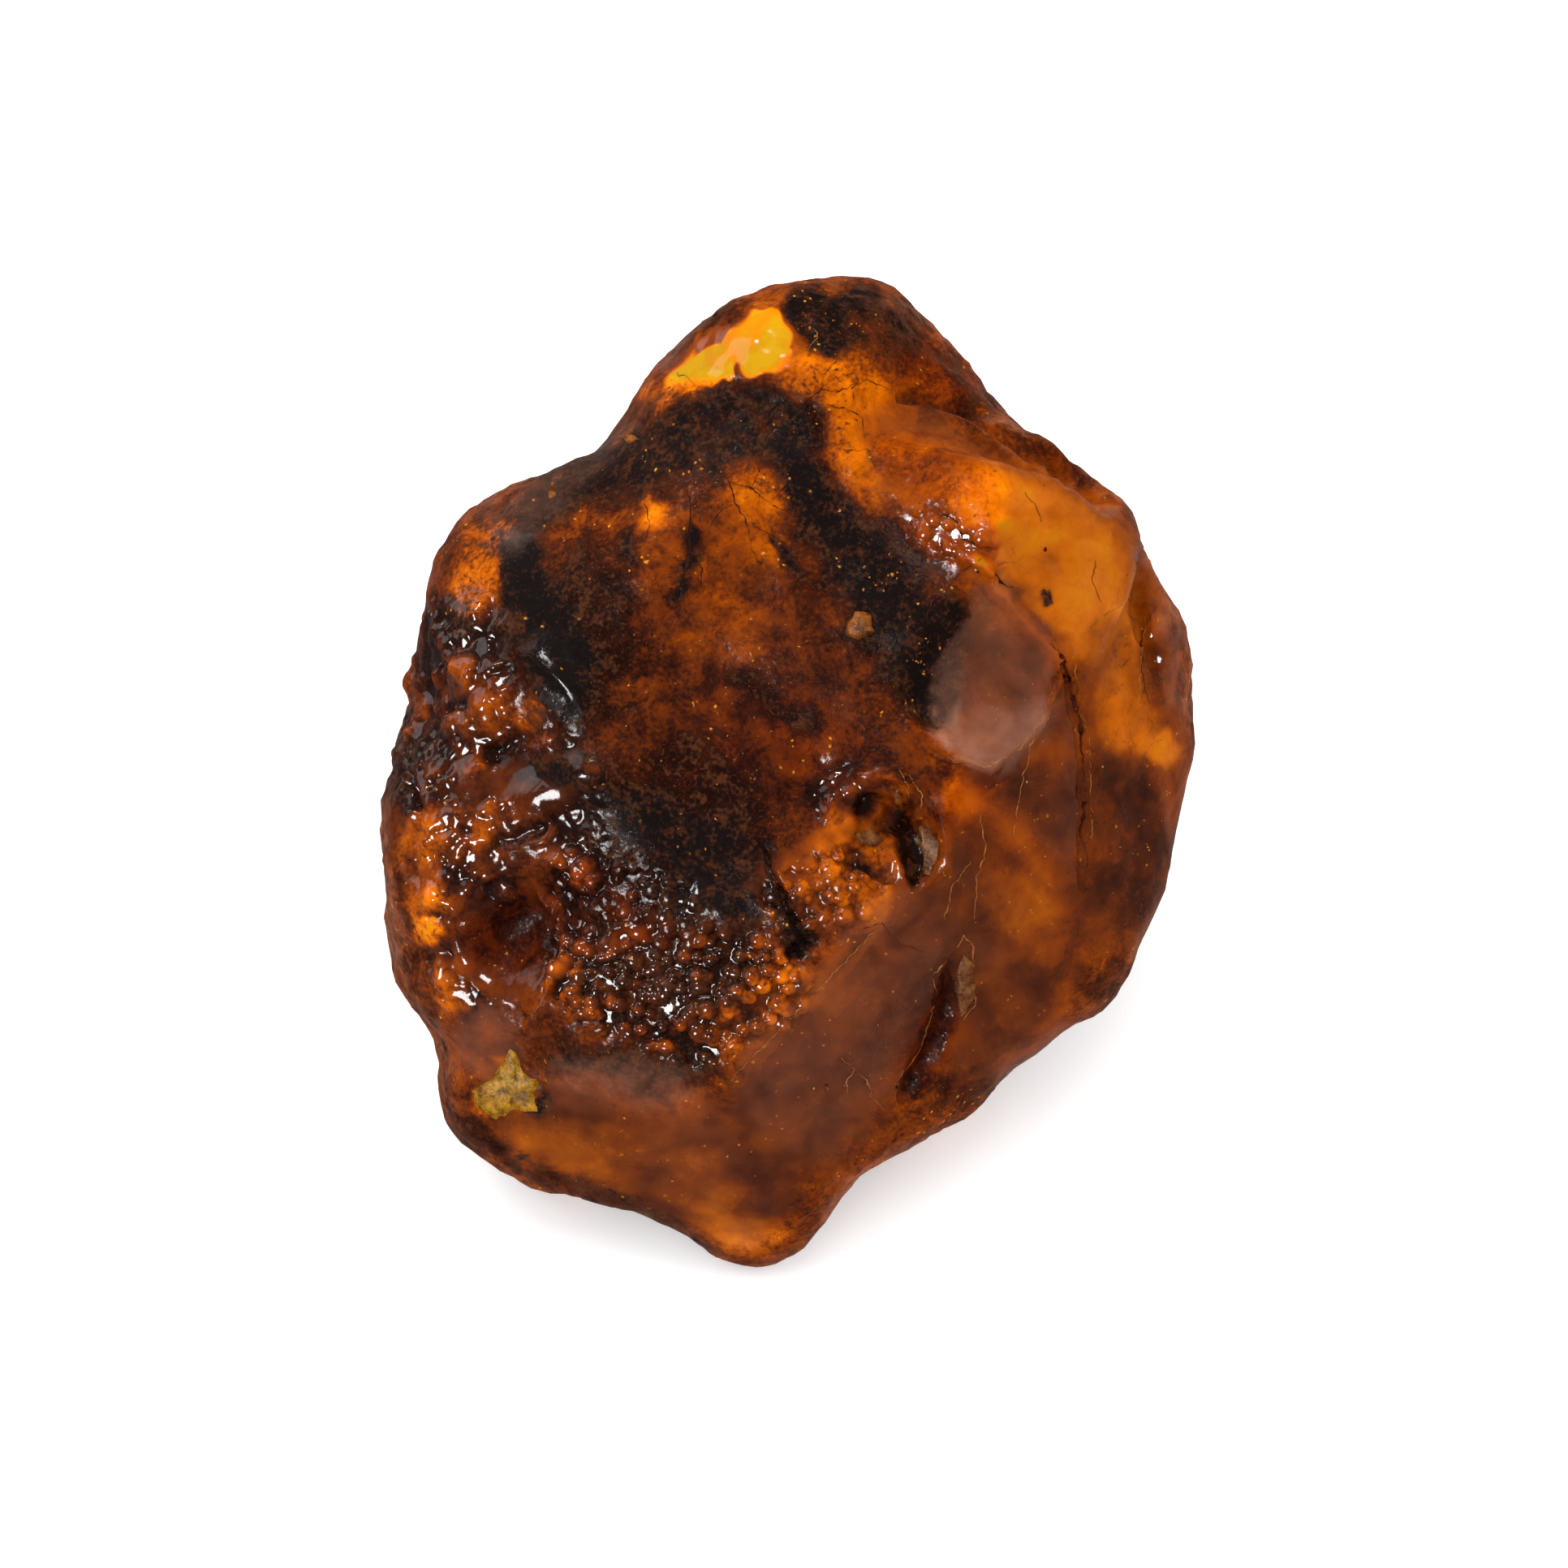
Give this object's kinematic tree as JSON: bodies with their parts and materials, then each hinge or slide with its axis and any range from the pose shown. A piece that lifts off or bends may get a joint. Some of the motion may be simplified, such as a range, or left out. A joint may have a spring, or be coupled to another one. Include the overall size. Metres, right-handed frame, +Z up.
{
  "type": "raw amber piece",
  "caption": "Palm-sized lump of raw amber: see-through orange resin under a dark pebbled crust, with broken facets, lying on a worn flat.",
  "frame": {"origin": "bottom centre of the lump's bounding box, on the surface that it lies on", "axes": "+Z up, with the broad crusted face leaning towards -Y; +X to the right when that face is looked at"},
  "size_m": [0.0508, 0.0524, 0.0409],
  "materials": {
    "amber": "clear to cloudy orange-brown resin, glossy where it is broken or sea-polished",
    "weathered_crust": "brittle oxidised crust, tan to near black, satin",
    "sealed_debris": "dark brown specks of bark and soil, matt"
  },
  "bodies": {
    "root": {"raw_amber": "amber"}
  },
  "joints": []
}
